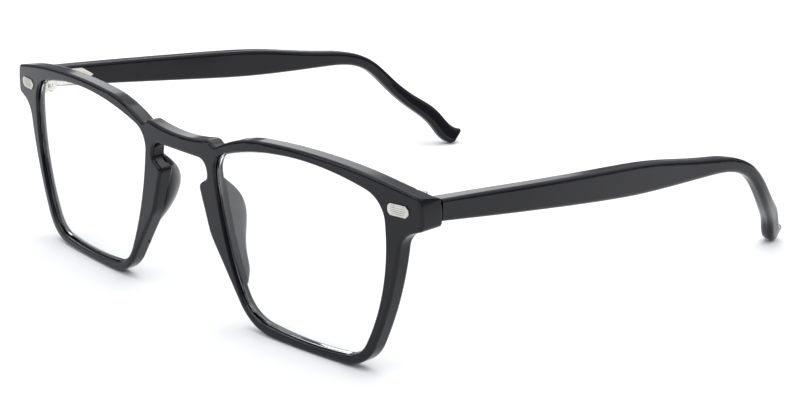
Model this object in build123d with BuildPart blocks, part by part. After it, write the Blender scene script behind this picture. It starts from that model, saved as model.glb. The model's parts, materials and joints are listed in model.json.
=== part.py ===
"""Acetate eyeglasses frame: keyhole front, two folding temples, demo lenses and riveted hinges.

Every piece is drawn in the front's own frame, in millimetres: X to the wearer's left, Y from the
front surface back to the ears, Z up. At the end the whole assembly leans forward until it stands
on the rim bottoms and the temple tips, and its box is centred on the origin.
"""

from build123d import *

import os
from math import asin, cos, sin

os.makedirs("parts", exist_ok=True)

# ---- driving dimensions ------------------------------------------------------------------------
FACE_RADIUS = 431.0         # wrap of the front, a cylinder about a vertical axis
SHEET = 3.6                 # acetate sheet that the front is cut from
FRONT_ROUND = 0.7           # polished outer edges of the front surface
REAR_ROUND = 0.6            # and of the rear surface
JOINT_ROUND = 0.4           # and of the joint faces
OPENING_ROUND = 0.3         # edges of the lens openings

LENS_THICKNESS = 1.6
LENS_SETBACK = 0.9          # lens surface behind the front surface
TONGUE_HEIGHT = 0.55        # the lens edge stands this far into its groove
TONGUE_WIDTH = 0.7
GROOVE_SLACK = 0.05

END_OUTER = 69.8            # outer flank of the end piece
END_INNER = 66.0            # inner flank of the end piece, in line with the temple
JOINT_Y = 11.2              # rear face of the end piece
JOINT_GAP = 0.15

HINGE_X = 63.6              # hinge axis
HINGE_Y = 11.7
HINGE_Z = 40.5              # middle of the five knuckles
KNUCKLE_RADIUS = 1.2
KNUCKLE_HEIGHT = 0.8
KNUCKLE_GAP = 0.04
SCREW_RADIUS = 0.6
SCREW_CLEARANCE = 0.03
LEAF = 0.8                  # thickness of both hinge leaves
LEAF_HEIGHT = 3.7

FRONT_LEAF_X = (60.4, 65.6)
ANCHOR_X, ANCHOR_WIDTH = 62.4, 2.2
ANCHOR_FRONT = 7.2          # the anchor is sunk into the sheet as far forward as this
PLATE_INLAY = 0.35          # the temple's plate is let into its inner face
PLATE_START, PLATE_SHOULDER, PLATE_POINT = 12.0, 21.0, 24.0
PLATE_DROP = 1.1            # the plate follows the falling temple
RIVET_PLACES = ((15.6, 40.0), (20.2, 39.6))
RIVET_RADIUS, RIVET_GRIP = 0.5, 0.7
RIVET_HEAD_RADIUS, RIVET_HEAD = 0.8, 0.2
SCREW_TAIL = 0.7            # the screw stands below the lowest knuckle
SCREW_HEAD, SCREW_HEAD_RADIUS = 0.5, 1.0
SCREW_SLOT = 0.28

PLAQUE_X, PLAQUE_Z = 64.15, 41.0
PLAQUE_LENGTH, PLAQUE_HEIGHT = 5.3, 2.4
PLAQUE_CORNER = 0.75
PLAQUE_PROUD, PLAQUE_SUNK = 0.3, 0.3
PLAQUE_GAP = 0.12           # the pocket is this much wider than the plaque all round
PIN_RADIUS, PIN_SPREAD, PIN_LENGTH = 0.55, 1.6, 1.1

TEMPLE_THICKNESS = (3.75, 3.4)      # at the joint and at the tip
TEMPLE_ROUND = (0.75, 1.2)          # the long edges soften towards the tip
TIP_ROUND = 0.5
WIRE_SECTION = (1.1, 2.0)           # flat core wire at the joint; it tapers towards the bend
WIRE_STATIONS = 13                  # sections that the wire reaches through
WIRE_TAPER = (0.3, 0.45)
WIRE_ROUND = 0.3
WIRE_SLACK = 0.04

LEAN = 2.01                 # forward lean of the standing frame, degrees
BACK = (0, 1, 0)
CUT = 20                    # longer than any piece is deep


def face_y(x, depth=0.0):
    """Y of the wrapped front surface, or of a parallel surface behind it."""
    return FACE_RADIUS - (FACE_RADIUS - depth) * cos(asin(x / (FACE_RADIUS - depth)))


def wrap_shell(front_depth, rear_depth):
    """The space between two surfaces parallel to the front."""
    half = 75.0
    with BuildPart() as shell:
        with BuildSketch(Plane.XY.offset(-5)):
            with BuildLine():
                near = ThreePointArc(
                    (-half, face_y(half, front_depth)), (0, front_depth), (half, face_y(half, front_depth))
                )
                far = ThreePointArc(
                    (-half, face_y(half, rear_depth)), (0, rear_depth), (half, face_y(half, rear_depth))
                )
                Line(near @ 0, far @ 0)
                Line(near @ 1, far @ 1)
            make_face()
        extrude(amount=60)
    return shell.part


def lies_at(edge, depth):
    """True for an edge that runs along the front surface, or along a parallel one behind it."""
    points = (edge @ 0.1, edge @ 0.5, edge @ 0.9)
    return all(abs(point.Y - face_y(point.X, depth)) < 0.05 for point in points)


def mirrored(solid):
    """The wearer's right-hand copy of a left-hand piece."""
    with BuildPart() as copy:
        mirror(solid, about=Plane.YZ)
    return copy.part


# ---- outlines, seen from the front (X, Z) --------------------------------------------------------
LENS_CORNERS = {
    "top_nasal": ((11.7, 41.1), 5.0), "top_temporal": ((59.9, 42.2), 6.5),
    "low_temporal": ((53.4, 7.3), 7.5), "low_nasal": ((21.6, 7.9), 9.5),
}


def lens_shape(growth=0.0):
    """The lens outline, grown evenly outwards by growth."""
    middle = Vector(36, 26)
    corners = {}
    for name, (corner, radius) in LENS_CORNERS.items():
        outwards = Vector(*corner) - middle
        corners[name] = (
            corner[0] + growth * (1 if outwards.X > 0 else -1),
            corner[1] + growth * (1 if outwards.Y > 0 else -1),
        )
    top_nasal, top_temporal = corners["top_nasal"], corners["top_temporal"]
    low_temporal, low_nasal = corners["low_temporal"], corners["low_nasal"]
    with BuildSketch(Plane.XZ) as outline:
        with BuildLine():
            ThreePointArc(top_nasal, (36.5, 45.9 + growth), top_temporal)
            ThreePointArc(top_temporal, (60.2 + growth, 26.0), low_temporal)
            ThreePointArc(low_temporal, (38.0, 6.4 - growth), low_nasal)
            ThreePointArc(low_nasal, (14.8 - growth, 24.0), top_nasal)
        make_face()
        for name, (corner, radius) in LENS_CORNERS.items():
            here = Vector(*corners[name])
            fillet(outline.vertices().sort_by_distance(here)[0], radius + growth)
    return outline.sketch


bridge_crest, notch, brow_rise = (10.6, 44.3), (12.4, 43.0), (25.0, 47.2)
end_top, end_bottom, end_root = (69.2, 44.3), (69.7, 37.6), (64.4, 35.6)
rim_temporal, rim_nasal, flank_bend = (54.9, 5.3), (22.3, 5.1), (9.9, 23.4)
hook, shelf, keyhole_top = (6.6, 33.7), (9.7, 35.7), (8.9, 39.6)
CORNER_RADII = {
    bridge_crest: 2.0, notch: 1.4, brow_rise: 30.0, end_top: 1.1, end_bottom: 1.3, end_root: 5.0,
    rim_temporal: 9.5, rim_nasal: 12.0, flank_bend: 9.0, hook: 1.3, shelf: 1.6, keyhole_top: 2.6,
}

with BuildSketch(Plane.XZ) as front_outline:
    with BuildLine() as half_outline:
        ThreePointArc((0, 43.2), (5.5, 43.5), bridge_crest)
        Line(bridge_crest, notch)
        ThreePointArc(notch, (18.2, 45.6), brow_rise)
        ThreePointArc(brow_rise, (47.0, 47.5), end_top)
        ThreePointArc(end_top, (69.8, 41.2), end_bottom)
        Line(end_bottom, end_root)
        ThreePointArc(end_root, (61.8, 22.0), rim_temporal)
        ThreePointArc(rim_temporal, (38.5, 4.6), rim_nasal)
        Polyline(rim_nasal, flank_bend, hook, shelf, keyhole_top, (0, 39.6))
        mirror(half_outline.line, about=Plane.YZ)
    make_face()
    for corner, radius in CORNER_RADII.items():
        for side in (-1, 1):
            here = Vector(side * corner[0], corner[1])
            fillet(front_outline.vertices().sort_by_distance(here)[0], radius)

# ---- front ----------------------------------------------------------------------------------------
groove_front = LENS_SETBACK + (LENS_THICKNESS - TONGUE_WIDTH) / 2
groove_rear = groove_front + TONGUE_WIDTH

with BuildPart() as groove:
    extrude(lens_shape(TONGUE_HEIGHT + GROOVE_SLACK), amount=CUT, dir=BACK)
    add(wrap_shell(groove_front - GROOVE_SLACK, groove_rear + GROOVE_SLACK), mode=Mode.INTERSECT)

# The end pieces run back beyond the sheet to the joint, in line with the temples.
with BuildPart() as front_space:
    add(wrap_shell(0, SHEET))
    for side in (-1, 1):
        with Locations((side * END_INNER, JOINT_Y, 40.0)):
            Box(10, 4.0, 20, align=(Align.MIN if side > 0 else Align.MAX, Align.MAX, Align.CENTER))

# A filed facet carries the brow line down to the top of the temple.
end_facets = [Plane(origin=(side * 69.0, 5.3, 44.4), z_dir=(side * 0.28, 0.17, 1.0)) for side in (-1, 1)]
# A second one, filed after the edges are rounded, takes its rear corner down to the temple's inner edge.
shoulder_facets = [Plane(origin=(side * 66.0, 8.9, 44.5), z_dir=(side * 0.1, 0.565, 1.0)) for side in (-1, 1)]

with BuildPart() as front_blank:
    extrude(front_outline.sketch, amount=CUT, dir=BACK)
    add(front_space.part, mode=Mode.INTERSECT)
    for facet in end_facets:
        split(bisect_by=facet, keep=Keep.BOTTOM)
    fillet(front_blank.edges().filter_by(lambda edge: lies_at(edge, 0)), FRONT_ROUND)
    rear_edges = front_blank.edges().filter_by(lambda edge: lies_at(edge, SHEET))
    fillet(rear_edges.filter_by(lambda edge: abs(edge.center().X) < END_INNER - 0.1), REAR_ROUND)
    joint_faces = front_blank.faces().filter_by_position(Axis.Y, JOINT_Y - 0.01, JOINT_Y + 0.01)
    fillet(joint_faces.edges(), JOINT_ROUND)
    for facet in shoulder_facets:
        split(bisect_by=facet, keep=Keep.BOTTOM)
    for side in (-1, 1):
        opening = lens_shape() if side > 0 else mirror(lens_shape(), Plane.YZ, mode=Mode.PRIVATE)
        extrude(opening, amount=CUT, dir=BACK, mode=Mode.SUBTRACT)
    opening_edges = front_blank.edges().filter_by(
        lambda edge: (lies_at(edge, 0) or lies_at(edge, SHEET)) and 12 < abs(edge.center().X) < 61
    )
    fillet(opening_edges.filter_by(lambda edge: 6 < edge.center().Z < 46.5), OPENING_ROUND)

# ---- lenses ---------------------------------------------------------------------------------------
with BuildPart() as lens_tongue:
    extrude(lens_shape(TONGUE_HEIGHT), amount=CUT, dir=BACK)
    add(wrap_shell(groove_front, groove_rear), mode=Mode.INTERSECT)

with BuildPart() as left_lens:
    extrude(lens_shape(-GROOVE_SLACK), amount=CUT, dir=BACK)
    add(wrap_shell(LENS_SETBACK, LENS_SETBACK + LENS_THICKNESS), mode=Mode.INTERSECT)
    chamfer(left_lens.faces().sort_by(Axis.Y)[0].edges(), 0.25)
    add(lens_tongue.part)

# ---- nose pads: acetate fins glued to the rear of the nasal rim -------------------------------------
# height, nasal edge, lens-side edge, depth of the ridge behind the front surface
PAD_SECTIONS = (
    (35.8, 8.9, 12.0, 4.2), (33.2, 7.5, 12.7, 6.9), (29.8, 7.9, 13.4, 8.9),
    (26.0, 8.9, 14.3, 8.8), (21.6, 11.2, 15.9, 7.0), (14.0, 15.8, 19.0, 4.4),
)
PAD_FOOT = 3.0              # the fin starts inside the sheet and is cut back to its rear surface
GLUE_LINE = 0.03

with BuildPart() as left_nose_pad:
    for height, nasal, lateral, ridge in PAD_SECTIONS:
        width = lateral - nasal
        with BuildSketch(Plane.XY.offset(height)):
            with BuildLine():
                flank = Spline(
                    (nasal, PAD_FOOT),
                    (nasal + 0.22 * width, PAD_FOOT + 0.62 * (ridge - PAD_FOOT)),
                    (nasal + 0.72 * width, ridge),
                    (lateral, PAD_FOOT + 0.55 * (ridge - PAD_FOOT)),
                    (lateral, PAD_FOOT),
                )
                Line(flank @ 1, flank @ 0)
            make_face()
    loft()
    add(front_blank.part.moved(Location((0, GLUE_LINE, 0))), mode=Mode.SUBTRACT)
    for scrap in left_nose_pad.solids().sort_by(SortBy.VOLUME)[:-1]:
        add(scrap, mode=Mode.SUBTRACT)

# ---- plaques on the end pieces ------------------------------------------------------------------------
plaque_slope = asin(PLAQUE_X / FACE_RADIUS)
plaque_plane = Plane(
    origin=(PLAQUE_X, face_y(PLAQUE_X), PLAQUE_Z),
    x_dir=(cos(plaque_slope), sin(plaque_slope), 0),
    z_dir=(sin(plaque_slope), -cos(plaque_slope), 0),
)
with BuildPart() as left_plaque:
    with BuildSketch(plaque_plane.offset(-PLAQUE_SUNK)) as plaque_outline:
        Rectangle(PLAQUE_LENGTH, PLAQUE_HEIGHT)
        chamfer(plaque_outline.vertices(), PLAQUE_CORNER)
    extrude(amount=PLAQUE_SUNK + PLAQUE_PROUD)
    chamfer(left_plaque.faces().sort_by(Axis.Y)[0].edges(), 0.15)
    with BuildSketch(plaque_plane.offset(-PLAQUE_SUNK)):
        with GridLocations(2 * PIN_SPREAD, 0, 2, 1):
            Circle(PIN_RADIUS)
    extrude(amount=-PIN_LENGTH)
with BuildPart() as plaque_pocket:
    with BuildSketch(plaque_plane.offset(-PLAQUE_SUNK)) as pocket_outline:
        add(plaque_outline.sketch)
        offset(amount=PLAQUE_GAP, kind=Kind.INTERSECTION)
    extrude(amount=PLAQUE_SUNK + PLAQUE_PROUD)
    add(left_plaque.part)

# ---- hinges ---------------------------------------------------------------------------------------------
knuckle_pitch = KNUCKLE_HEIGHT + KNUCKLE_GAP
knuckle_levels = [HINGE_Z + (index - 2) * knuckle_pitch for index in range(5)]
axis_plane = Plane.XY.offset(HINGE_Z)


def knuckle(level, web_x, web_y):
    """A barrel on the hinge axis with its web, bored for the screw; the web's box is web_x by web_y."""
    low = level - KNUCKLE_HEIGHT / 2
    with BuildPart() as barrel:
        with BuildSketch(Plane.XY.offset(low)):
            with Locations((HINGE_X, HINGE_Y)):
                Circle(KNUCKLE_RADIUS)
            with Locations(((web_x[0] + web_x[1]) / 2, (web_y[0] + web_y[1]) / 2)):
                Rectangle(web_x[1] - web_x[0], web_y[1] - web_y[0])
            with Locations((HINGE_X, HINGE_Y)):
                Circle(SCREW_RADIUS + SCREW_CLEARANCE, mode=Mode.SUBTRACT)
        extrude(amount=KNUCKLE_HEIGHT)
    return barrel.part


with BuildPart() as left_front_hinge:
    with Locations((FRONT_LEAF_X[0], 0, HINGE_Z)):
        Box(FRONT_LEAF_X[1] - FRONT_LEAF_X[0], 20, LEAF_HEIGHT, align=(Align.MIN, Align.MIN, Align.CENTER))
    fillet(left_front_hinge.edges().filter_by(Axis.Y), 0.6)
    add(wrap_shell(SHEET, SHEET + LEAF), mode=Mode.INTERSECT)
    for level in knuckle_levels[0::2]:
        reach = (HINGE_X - KNUCKLE_RADIUS, HINGE_X + KNUCKLE_RADIUS)
        add(knuckle(level, reach, (face_y(HINGE_X, SHEET) + 0.4, HINGE_Y)))
    with BuildSketch(Plane.XZ.offset(-ANCHOR_FRONT)):
        with Locations((ANCHOR_X, HINGE_Z)):
            Rectangle(ANCHOR_WIDTH, LEAF_HEIGHT - 1.2)
    extrude(amount=-(face_y(ANCHOR_X, SHEET) + 0.3 - ANCHOR_FRONT))

with BuildPart() as left_temple_hinge:
    with BuildSketch(Plane.YZ.offset(END_INNER + PLATE_INLAY - LEAF)) as plate_outline:
        with BuildLine():
            low, high = HINGE_Z - LEAF_HEIGHT / 2, HINGE_Z + LEAF_HEIGHT / 2
            Polyline(
                (PLATE_START, low), (PLATE_SHOULDER, low - PLATE_DROP), (PLATE_POINT, HINGE_Z - PLATE_DROP * 1.2),
                (PLATE_SHOULDER, high - PLATE_DROP), (PLATE_START, high), close=True,
            )
        make_face()
    extrude(amount=LEAF)
    for level in knuckle_levels[1::2]:
        reach = (HINGE_X, END_INNER + PLATE_INLAY - LEAF / 2)
        add(knuckle(level, reach, (HINGE_Y - 0.2, HINGE_Y + KNUCKLE_RADIUS)))
    with BuildSketch(Plane.YZ.offset(END_INNER + PLATE_INLAY - LEAF)):
        with Locations(*RIVET_PLACES):
            Circle(RIVET_RADIUS + 0.02)
    extrude(amount=LEAF, mode=Mode.SUBTRACT)

with BuildPart() as left_hinge_screw:
    stack_top = knuckle_levels[-1] + KNUCKLE_HEIGHT / 2
    stack_bottom = knuckle_levels[0] - KNUCKLE_HEIGHT / 2
    with BuildSketch(Plane.XY.offset(stack_bottom - SCREW_TAIL)):
        with Locations((HINGE_X, HINGE_Y)):
            Circle(SCREW_RADIUS)
    extrude(amount=stack_top - stack_bottom + SCREW_TAIL)
    with BuildSketch(Plane.XY.offset(stack_top)):
        with Locations((HINGE_X, HINGE_Y)):
            Circle(SCREW_HEAD_RADIUS)
    extrude(amount=SCREW_HEAD)
    fillet(left_hinge_screw.faces().sort_by(Axis.Z)[-1].edges(), 0.15)
    with BuildSketch(Plane.XY.offset(stack_top + SCREW_HEAD)):
        with Locations((HINGE_X, HINGE_Y)):
            Rectangle(2 * SCREW_HEAD_RADIUS + 0.1, SCREW_SLOT, rotation=35)
    extrude(amount=-SCREW_HEAD / 2, mode=Mode.SUBTRACT)
    fillet(left_hinge_screw.faces().sort_by(Axis.Z)[0].edges(), 0.3)

with BuildPart() as left_temple_rivets:
    with BuildSketch(Plane.YZ.offset(END_INNER + PLATE_INLAY - LEAF)):
        with Locations(*RIVET_PLACES):
            Circle(RIVET_RADIUS)
    extrude(amount=LEAF + RIVET_GRIP)
    with BuildSketch(Plane.YZ.offset(END_INNER + PLATE_INLAY - LEAF)):
        with Locations(*RIVET_PLACES):
            Circle(RIVET_HEAD_RADIUS)
    extrude(amount=-RIVET_HEAD)
    fillet(left_temple_rivets.faces().filter_by(Axis.X).group_by(Axis.X)[0].edges(), 0.12)

# ---- the finished front: lens grooves, plaque pockets and hinge anchor pockets -------------------------
with BuildPart() as frame_front:
    add(front_blank.part)
    for cutter in (groove.part, plaque_pocket.part, left_front_hinge.part):
        add(cutter, mode=Mode.SUBTRACT)
        add(mirrored(cutter), mode=Mode.SUBTRACT)

# ---- temples ----------------------------------------------------------------------------------------------
# The centre line falls slowly to the ear bend, then drops and turns inwards to the tip.
TEMPLE_LINE = (
    (67.85, JOINT_Y + JOINT_GAP, 40.68), (67.9, 36.0, 37.4), (67.2, 62.7, 33.9), (66.2, 80.0, 31.65),
    (65.4, 95.0, 29.6), (65.0, 105.4, 27.9), (64.6, 113.1, 24.2), (63.4, 119.0, 18.3),
    (61.0, 124.7, 12.75), (57.95, 130.5, 7.3), (54.9, 136.3, 1.85),
)
JOINT_DIRECTION, TIP_DIRECTION = (0, 1, -0.13), (-3.05, 5.8, -5.45)
# section heights, evenly spaced along the line: widest two thirds of the way to the bend
TEMPLE_HEIGHTS = (
    4.6, 5.0, 5.4, 5.75, 6.1, 6.45, 6.75, 6.8, 6.2, 5.1, 4.1, 3.4, 3.05, 3.2, 3.7, 4.3, 4.9,
)
with BuildLine() as temple_path:
    Spline(*TEMPLE_LINE, tangents=(JOINT_DIRECTION, TIP_DIRECTION))


def station_plane(share):
    """The section plane at a share of the temple's length, square to its line; the first is the joint face."""
    line = temple_path.line.edge()
    along = line.tangent_at(share * line.length, position_mode=PositionMode.LENGTH) if share else Vector(*BACK)
    across = along.cross(Vector(0, -along.Z, along.Y)).normalized()
    centre = line.position_at(share * line.length, position_mode=PositionMode.LENGTH)
    return Plane(origin=centre, x_dir=-across, z_dir=along)


def temple_loft(count, size_at):
    """A loft through the first sections; size_at(share, height) gives width, height and corner radius."""
    with BuildPart() as bar:
        for index in range(count):
            share = index / (len(TEMPLE_HEIGHTS) - 1)
            with BuildSketch(station_plane(share)):
                RectangleRounded(*size_at(share, TEMPLE_HEIGHTS[index]))
        loft()
    return bar.part


def temple_size(share, height):
    width = TEMPLE_THICKNESS[0] + share * (TEMPLE_THICKNESS[1] - TEMPLE_THICKNESS[0])
    return width, height, TEMPLE_ROUND[0] + share * (TEMPLE_ROUND[1] - TEMPLE_ROUND[0])


def wire_size(share, height):
    return WIRE_SECTION[0] * (1 - WIRE_TAPER[0] * share), WIRE_SECTION[1] * (1 - WIRE_TAPER[1] * share), WIRE_ROUND


def bore_size(share, height):
    width, depth, corner = wire_size(share, height)
    return width + WIRE_SLACK, depth + WIRE_SLACK, corner


with BuildPart() as left_core_wire:
    add(temple_loft(WIRE_STATIONS, wire_size))

with BuildPart() as left_temple:
    add(temple_loft(len(TEMPLE_HEIGHTS), temple_size))
    fillet(left_temple.faces().sort_by(Axis.Z)[0].edges(), TIP_ROUND)
    add(temple_loft(WIRE_STATIONS, bore_size), mode=Mode.SUBTRACT)
    add(left_temple_hinge.part, mode=Mode.SUBTRACT)
    add(left_temple_rivets.part, mode=Mode.SUBTRACT)

# ---- assembly ---------------------------------------------------------------------------------------------
left_pieces = {
    "lens": left_lens, "nose_pad": left_nose_pad, "plaque": left_plaque, "front_hinge": left_front_hinge,
    "hinge_screw": left_hinge_screw, "temple_hinge": left_temple_hinge, "temple_rivets": left_temple_rivets,
    "temple": left_temple, "core_wire": left_core_wire,
}
pieces = {"frame_front": frame_front.part}
for name, built in left_pieces.items():
    pieces["left_" + name] = built.part
    pieces["right_" + name] = mirrored(built.part)

leaning = {name: solid.rotate(Axis.X, LEAN) for name, solid in pieces.items()}
boxes = [solid.bounding_box() for solid in leaning.values()]
front_y, rear_y = min(box.min.Y for box in boxes), max(box.max.Y for box in boxes)
to_origin = Vector(0, -(front_y + rear_y) / 2, -min(box.min.Z for box in boxes))
for name, solid in leaning.items():
    placed = solid.moved(Location(to_origin))
    placed.label = name
    export_step(placed, f"parts/{name}.step")

hinge_point = Vector(HINGE_X, HINGE_Y, HINGE_Z).rotate(Axis.X, LEAN) + to_origin
print("hinge axis through", hinge_point, "along", Vector(0, 0, 1).rotate(Axis.X, LEAN))
print("front point", Vector(0, 0, 0).rotate(Axis.X, LEAN) + to_origin)
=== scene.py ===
"""Looks for the eyeglasses frame: materials, plaque grooves, studio light and the photograph's view."""

import json
from math import asin, cos, radians, sin

import bpy
from mathutils import Matrix, Vector


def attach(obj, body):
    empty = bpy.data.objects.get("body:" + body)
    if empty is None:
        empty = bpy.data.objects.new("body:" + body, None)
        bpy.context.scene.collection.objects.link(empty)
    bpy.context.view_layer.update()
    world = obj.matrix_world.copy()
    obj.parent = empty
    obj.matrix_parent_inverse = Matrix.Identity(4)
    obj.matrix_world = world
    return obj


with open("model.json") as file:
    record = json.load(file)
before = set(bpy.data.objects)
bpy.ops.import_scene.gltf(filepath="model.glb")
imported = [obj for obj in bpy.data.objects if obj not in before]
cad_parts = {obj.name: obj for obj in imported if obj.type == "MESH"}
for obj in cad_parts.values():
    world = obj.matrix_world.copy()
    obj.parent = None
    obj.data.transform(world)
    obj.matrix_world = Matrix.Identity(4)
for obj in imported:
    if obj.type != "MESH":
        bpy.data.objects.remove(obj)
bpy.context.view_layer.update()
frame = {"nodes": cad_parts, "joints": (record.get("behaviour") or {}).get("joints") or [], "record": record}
nodes = frame["nodes"]

# ---- the front's own frame ----
# The object leans forward a little. The fold axis is the front's upright direction.
left_fold = next(joint for joint in frame["joints"] if joint["name"] == "left_temple_fold")
UP = Vector(left_fold["axis"]).normalized()
SIDE = Vector((1, 0, 0))
REAR = UP.cross(SIDE)
HINGE = Vector(left_fold["pos_m"])
HINGE_AT = Vector((0.0636, 0.0117, 0.0405))        # the same point in the front's own frame
FACE_RADIUS = 0.431                                # wrap of the front


def placed(x, y, z):
    """A point of the front's own frame: X to the wearer's left, Y to the rear, Z up."""
    step = Vector((x, y, z)) - HINGE_AT
    return HINGE + SIDE * step.x + REAR * step.y + UP * step.z


# ---- materials ----
PLASTIC_IOR = 1.49                                 # both the acetate and the clear lens plastic


def new_material(name):
    """An empty material with one Principled shader, and its node tree and shader."""
    material = bpy.data.materials.new(name)
    material.use_nodes = True
    tree = material.node_tree
    tree.nodes.clear()
    output = tree.nodes.new("ShaderNodeOutputMaterial")
    shader = tree.nodes.new("ShaderNodeBsdfPrincipled")
    tree.links.new(shader.outputs["BSDF"], output.inputs["Surface"])
    return material, tree, shader


def noise(tree, scale, detail=3.0, roughness=0.5, stretch=(1, 1, 1)):
    """A noise texture in object space, where a metre is a metre."""
    coordinates = tree.nodes.new("ShaderNodeTexCoord")
    mapping = tree.nodes.new("ShaderNodeMapping")
    mapping.inputs["Scale"].default_value = stretch
    texture = tree.nodes.new("ShaderNodeTexNoise")
    texture.inputs["Scale"].default_value = scale
    texture.inputs["Detail"].default_value = detail
    texture.inputs["Roughness"].default_value = roughness
    tree.links.new(coordinates.outputs["Object"], mapping.inputs["Vector"])
    tree.links.new(mapping.outputs["Vector"], texture.inputs["Vector"])
    return texture


def ramp(tree, source, stops):
    """A colour ramp over source; stops are (position, colour)."""
    node = tree.nodes.new("ShaderNodeValToRGB")
    elements = node.color_ramp.elements
    while len(elements) < len(stops):
        elements.new(0.5)
    for element, (position, color) in zip(elements, stops):
        element.position = position
        element.color = color
    tree.links.new(source, node.inputs["Fac"])
    return node


def to_range(tree, source, low, high):
    """The source's 0 to 1, spread over low to high."""
    node = tree.nodes.new("ShaderNodeMapRange")
    node.inputs["To Min"].default_value = low
    node.inputs["To Max"].default_value = high
    tree.links.new(source, node.inputs["Value"])
    return node.outputs["Result"]


def bump(tree, shader, height, strength, distance):
    """Fine relief from height, distance metres deep."""
    node = tree.nodes.new("ShaderNodeBump")
    node.inputs["Strength"].default_value = strength
    node.inputs["Distance"].default_value = distance
    tree.links.new(height, node.inputs["Height"])
    tree.links.new(node.outputs["Normal"], shader.inputs["Normal"])


def acetate():
    """Polished black acetate: faint tone variation, a hand-polished waviness and light handling marks."""
    material, tree, shader = new_material("black_acetate")
    tone = noise(tree, 60, 4)
    colors = ramp(
        tree,
        tone.outputs["Fac"],
        [(0.3, (0.0025, 0.0025, 0.004, 1)), (0.7, (0.006, 0.006, 0.009, 1))],
    )
    tree.links.new(colors.outputs["Color"], shader.inputs["Base Color"])
    smudge = noise(tree, 90, 5, 0.6)
    tree.links.new(to_range(tree, smudge.outputs["Fac"], 0.07, 0.15), shader.inputs["Roughness"])
    shader.inputs["IOR"].default_value = PLASTIC_IOR
    shader.inputs["Specular IOR Level"].default_value = 0.27
    wave = noise(tree, 140, 1)
    bump(tree, shader, wave.outputs["Fac"], 0.06, 0.0002)
    return material


METAL_SHADE = 0.82                                 # a metal's darkest tone against its colour


def metal(name, color, scratch_stretch, roughness):
    """Nickel-silver or steel: fine drawn lines, tone variation and slightly worn highlights.

    The roughness is a (smoothest, roughest) pair.
    """
    material, tree, shader = new_material(name)
    shader.inputs["Metallic"].default_value = 1.0
    tone = noise(tree, 700, 4)
    dark = tuple(METAL_SHADE * channel for channel in color) + (1,)
    colors = ramp(tree, tone.outputs["Fac"], [(0.35, dark), (0.65, tuple(color) + (1,))])
    tree.links.new(colors.outputs["Color"], shader.inputs["Base Color"])
    lines = noise(tree, 900, 2, 0.5, scratch_stretch)
    tree.links.new(to_range(tree, lines.outputs["Fac"], *roughness), shader.inputs["Roughness"])
    bump(tree, shader, lines.outputs["Fac"], 0.15, 0.00005)
    return material


def lens_plastic():
    """Clear demo lens: almost invisible, with a faint haze of polishing."""
    material, tree, shader = new_material("clear_lens")
    shader.inputs["Base Color"].default_value = (0.985, 0.99, 0.99, 1)
    shader.inputs["Transmission Weight"].default_value = 1.0
    shader.inputs["IOR"].default_value = PLASTIC_IOR
    haze = noise(tree, 50, 3)
    tree.links.new(to_range(tree, haze.outputs["Fac"], 0.0, 0.015), shader.inputs["Roughness"])
    return material


def painted_edge_highlight():
    """A matt white band: a painted highlight along the border of a lens."""
    material, tree, shader = new_material("painted_lens_edge_highlight")
    grain = noise(tree, 4000, 4)
    # the painted highlight's white, varied with a fine grain
    colors = ramp(
        tree,
        grain.outputs["Fac"],
        [(0.3, (0.72, 0.74, 0.77, 1)), (0.7, (0.92, 0.93, 0.95, 1))],
    )
    tree.links.new(colors.outputs["Color"], shader.inputs["Base Color"])
    shader.inputs["Roughness"].default_value = 0.6
    bump(tree, shader, grain.outputs["Fac"], 0.2, 0.00004)
    return material


looks = {
    "acetate": acetate(),
    # lens_edge: a painted highlight, a matt white band along each lens's border
    "lens_edge": painted_edge_highlight(),
    "lens": lens_plastic(),
    "trim_metal": metal("brushed_trim", (0.60, 0.59, 0.55), (0.05, 1, 1), (0.22, 0.36)),
    "hinge_metal": metal("nickel_silver", (0.72, 0.68, 0.60), (1, 0.1, 1), (0.20, 0.34)),
    "screw_steel": metal("screw_steel", (0.62, 0.62, 0.63), (1, 1, 1), (0.18, 0.30)),
}
slot_of = {entry["node"]: entry["material_slot"] for entry in frame["record"]["subparts"]}
for name, node in nodes.items():
    for slot in node.material_slots:
        slot.material = looks[slot_of[name]]

# ---- fine bars along the plaques and a painted highlight along the lens borders ----
PLAQUE = (0.06415, 0.041)                          # middle of the left plaque, X and Z
BAR_COUNT, BAR_PITCH = 5, 0.0004
BAR_LENGTH, BAR_WIDTH, BAR_RISE = 0.0041, 0.0002, 0.00016
BAR_TAPER = 0.0002                                 # each step outwards shortens a bar by this at each end
BAR_FOOT, BAR_CREST = 0.5, 0.22                    # half widths at foot and crest, as parts of BAR_WIDTH
BAR_SINK = 0.00002                                 # how far a bar's foot sits inside the plaque
PLAQUE_PROUD = 0.0003                              # how far the plaque stands out of the front
# The painted highlight band's section: distance inwards from the lens's border, and height above its front
# face.
RIM_PROFILE = ((0.00002, 0.0), (0.00002, 0.00006), (0.00022, 0.00006), (0.00022, 0.0))
FRONT_FACING = 0.97                                # least cosine for a face to belong to a lens's front


def face_y(x):
    """How far the wrapped face has turned back at x."""
    return FACE_RADIUS - (FACE_RADIUS**2 - x * x) ** 0.5


def new_piece(name, points, faces, slot):
    """A mesh piece that rides on the front, with one of the looks above."""
    mesh = bpy.data.meshes.new(name)
    mesh.from_pydata(points, [], faces)
    mesh.update()
    piece = bpy.data.objects.new(name, mesh)
    bpy.context.scene.collection.objects.link(piece)
    mesh.materials.append(looks[slot])
    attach(piece, "front")


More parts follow.
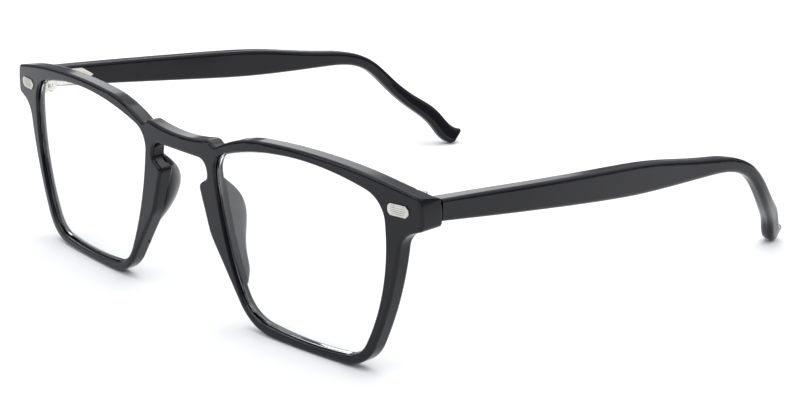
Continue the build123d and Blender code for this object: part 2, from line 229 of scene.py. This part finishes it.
def plaque_bars(side):
    """Rounded bars along the plaque, each a ridge of three faces with tapered ends."""
    slope = asin(PLAQUE[0] / FACE_RADIUS)
    along = SIDE * (side * cos(slope)) + REAR * sin(slope)
    outward = SIDE * (side * sin(slope)) - REAR * cos(slope)
    face = placed(side * PLAQUE[0], face_y(PLAQUE[0]), PLAQUE[1])
    middle = face + outward * (PLAQUE_PROUD - BAR_SINK)
    section = (-BAR_FOOT, -BAR_CREST, BAR_CREST, BAR_FOOT)
    width = len(section)
    points, faces = [], []
    for bar in range(BAR_COUNT):
        from_middle = bar - (BAR_COUNT - 1) / 2
        level = from_middle * BAR_PITCH
        half = BAR_LENGTH / 2 - BAR_TAPER * abs(from_middle)
        rings = ((-half, 0), (-half + BAR_RISE, 1), (half - BAR_RISE, 1), (half, 0))
        first = len(points)
        last = first + width * (len(rings) - 1)
        for reach, rise in rings:
            for across in section:
                lift = BAR_RISE * rise if abs(across) == BAR_CREST else 0
                points.append(
                    middle + along * reach + UP * (level + across * BAR_WIDTH) + outward * lift
                )
        for ring in range(first, last, width):
            for corner in range(ring, ring + width - 1):
                faces.append((corner, corner + width, corner + width + 1, corner + 1))
        faces.append(tuple(range(first, first + width)))
        faces.append(tuple(reversed(range(last, last + width))))
    new_piece(("left" if side > 0 else "right") + "_plaque_bars", points, faces, "trim_metal")


def lens_highlight_band(side):
    """A painted highlight of a lens: a thin matt white band along the border of its front face."""
    name = ("left" if side > 0 else "right") + "_lens"
    lens = nodes[name]
    turn = lens.matrix_world.to_3x3()
    mesh = lens.data
    uses = {}
    for face in mesh.polygons:
        if (turn @ face.normal).normalized().dot(-REAR) > FRONT_FACING:
            for edge in face.edge_keys:
                uses[edge] = uses.get(edge, 0) + 1
    # An edge used once bounds the front face. Its neighbours are followed into closed loops.
    follows = {}
    for (start, end), count in uses.items():
        if count == 1:
            follows.setdefault(start, []).append(end)
            follows.setdefault(end, []).append(start)
    loops, seen = [], set()
    for first in follows:
        if first in seen:
            continue
        loop, here = [], first
        while here is not None:
            seen.add(here)
            loop.append(here)
            here = next((other for other in follows[here] if other not in seen), None)
        loops.append(loop)
    border = [lens.matrix_world @ mesh.vertices[index].co for index in max(loops, key=len)]
    middle = sum(border, Vector()) / len(border)
    points, faces = [], []
    for corner in border:
        inward = (middle - corner).normalized()
        for step, lift in RIM_PROFILE:
            points.append(corner + inward * step - REAR * lift)
    count, width = len(border), len(RIM_PROFILE)
    for i in range(count):
        here, after = width * i, width * ((i + 1) % count)
        for j in range(width):
            across = (j + 1) % width
            faces.append((here + j, here + across, after + across, after + j))
    # the band is a painted highlight along the lens's border
    new_piece(name + "_painted_highlight", points, faces, "lens_edge")


for side in (1, -1):
    plaque_bars(side)
    lens_highlight_band(side)

# ---- floor and light ----
FLOOR_SIZE = 8
bpy.ops.mesh.primitive_plane_add(size=FLOOR_SIZE, location=(0, 0, 0))
floor = bpy.context.object
floor.name = "floor"
floor_material, floor_tree, floor_shader = new_material("pale_floor")
paper = noise(floor_tree, 40, 3)
floor_tone = ramp(
    floor_tree,
    paper.outputs["Fac"],
    [(0.3, (0.88, 0.88, 0.88, 1)), (0.7, (0.9, 0.9, 0.9, 1))],
)
floor_tree.links.new(floor_tone.outputs["Color"], floor_shader.inputs["Base Color"])
floor_shader.inputs["Roughness"].default_value = 0.9
floor.data.materials.append(floor_material)

# The studio: a bright ceiling over a darker horizon, so that rounded edges catch a line of light.
world = bpy.data.worlds.new("studio")
bpy.context.scene.world = world
world.use_nodes = True
sky = world.node_tree
sky_coordinates = sky.nodes.new("ShaderNodeTexCoord")
sky_height = sky.nodes.new("ShaderNodeSeparateXYZ")
sky.links.new(sky_coordinates.outputs["Generated"], sky_height.inputs["Vector"])
sky_color = ramp(
    sky,
    sky_height.outputs["Z"],
    [
        (0.0, (0.3, 0.3, 0.32, 1)),
        (0.2, (0.22, 0.22, 0.25, 1)),
        (0.55, (0.95, 0.97, 1.0, 1)),
        (1.0, (1, 1, 1, 1)),
    ],
)
sky.links.new(sky_color.outputs["Color"], sky.nodes["Background"].inputs["Color"])
sky.nodes["Background"].inputs["Strength"].default_value = 1.0


def area_light(name, location, target, size, power, color=(1, 1, 1)):
    """A rectangular light, aimed at target. Sizes are in metres and power in watts."""
    data = bpy.data.lights.new(name, "AREA")
    data.shape = "RECTANGLE"
    data.size, data.size_y = size
    data.energy = power
    data.color = color
    light = bpy.data.objects.new(name, data)
    bpy.context.scene.collection.objects.link(light)
    light.location = location
    light.rotation_euler = (Vector(target) - Vector(location)).to_track_quat("-Z", "Y").to_euler()


area_light("top_panel", (0, 0.1, 1.1), (0, 0, 0), (1.3, 1.3), 9)
area_light("front_strip", (-0.2, -0.9, 0.55), (0, 0, 0.03), (0.9, 0.12), 2.4, (0.75, 0.82, 1.0))
area_light("far_card", (-0.9, 0.75, 0.5), (-0.06, -0.06, 0.045), (0.5, 0.5), 1.3)

# ---- the photograph's view ----
# All of it is given in the front's own frame: the point looked at, and the camera's direction from it.
AZIMUTH, ELEVATION, ROLL = radians(47.41), radians(18.81), radians(-0.55)
DISTANCE, LENS, SENSOR_WIDTH = 0.4303, 93.06, 36   # metres, then millimetres
LOOK_AT = (0.041, 0.0265, 0.0323)
back = (
    SIDE * (sin(AZIMUTH) * cos(ELEVATION))
    - REAR * (cos(AZIMUTH) * cos(ELEVATION))
    + UP * sin(ELEVATION)
)
right = SIDE * cos(AZIMUTH) + REAR * sin(AZIMUTH)
above = back.cross(right)
right, above = right * cos(ROLL) + above * sin(ROLL), above * cos(ROLL) - right * sin(ROLL)

camera_data = bpy.data.cameras.new("camera")
camera_data.lens = LENS
camera_data.sensor_width = SENSOR_WIDTH
camera_data.clip_start = 0.01
camera = bpy.data.objects.new("camera", camera_data)
bpy.context.scene.collection.objects.link(camera)
camera.matrix_world = Matrix.Translation(placed(*LOOK_AT) + back * DISTANCE) @ Matrix(
    (
        (right.x, above.x, back.x, 0),
        (right.y, above.y, back.y, 0),
        (right.z, above.z, back.z, 0),
        (0, 0, 0, 1),
    )
)
bpy.context.scene.camera = camera
bpy.context.scene.view_settings.view_transform = "Standard"
